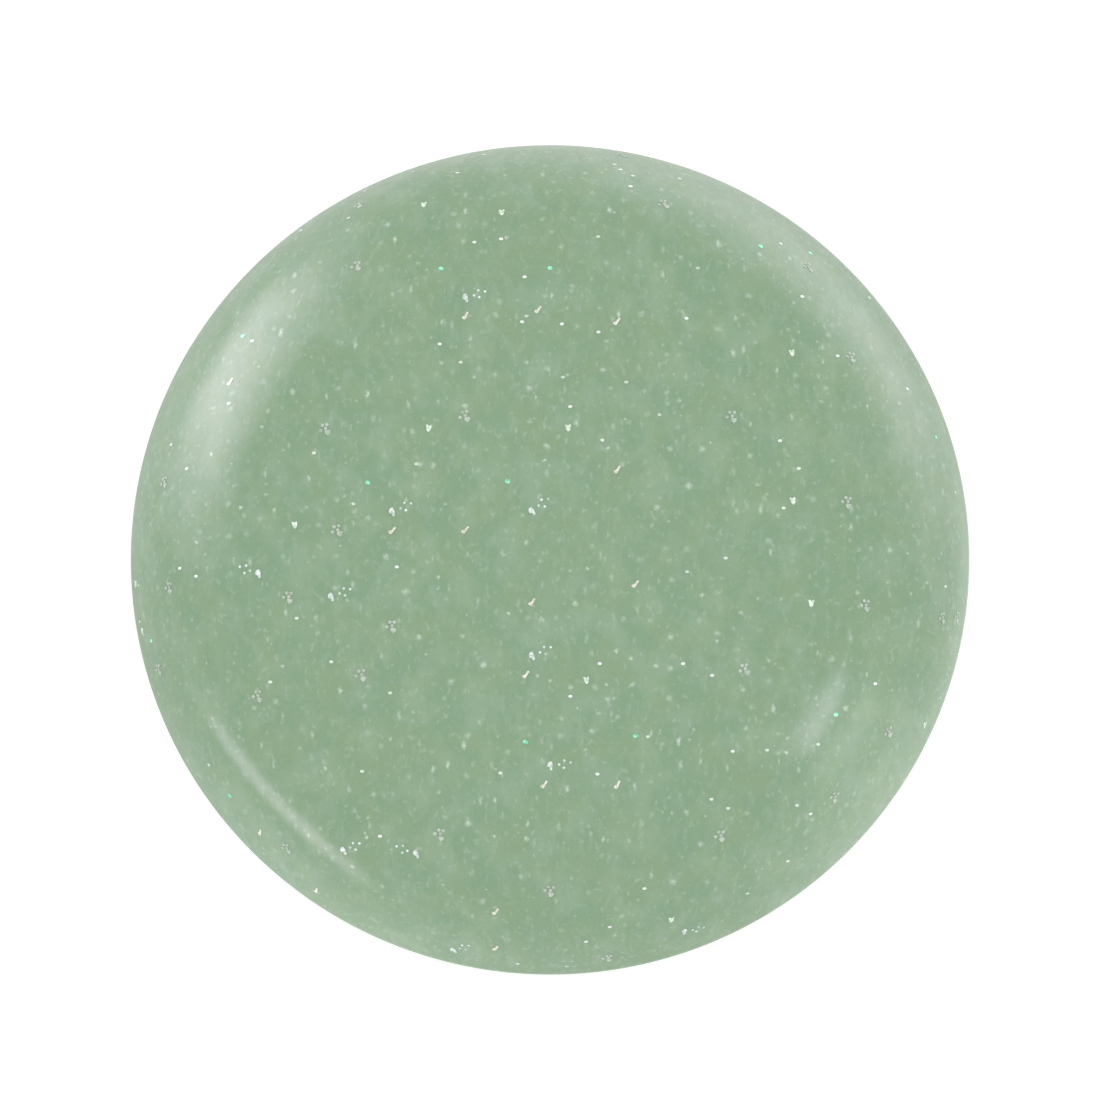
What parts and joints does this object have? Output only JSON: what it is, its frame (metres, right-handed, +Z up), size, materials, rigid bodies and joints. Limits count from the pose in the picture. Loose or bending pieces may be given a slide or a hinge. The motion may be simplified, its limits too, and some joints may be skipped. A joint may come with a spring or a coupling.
{
  "type": "shaving soap puck",
  "caption": "Round cast puck of translucent green shaving soap with a rounded shoulder and glitter and mica flakes bedded in its skin.",
  "frame": {"origin": "middle of the underside, level with the flat land that the puck rests on", "axes": "+Z up along the puck's axis of revolution, +X and +Y across the puck"},
  "size_m": [0.07, 0.07, 0.013],
  "materials": {
    "soap": "gloss",
    "white_glitter": "gloss",
    "green_glitter": "gloss",
    "rose_foil": "satin",
    "cream_pearl": "satin",
    "silver_foil": "gloss",
    "mica": "satin"
  },
  "bodies": {
    "root": {"soap_body": "soap", "white_glitter_flakes": "white_glitter", "green_glitter_flakes": "green_glitter", "rose_slivers": "rose_foil", "cream_chips": "cream_pearl", "silver_chips": "silver_foil", "silver_crumbs": "silver_foil", "mica_rosettes": "mica"}
  },
  "joints": []
}
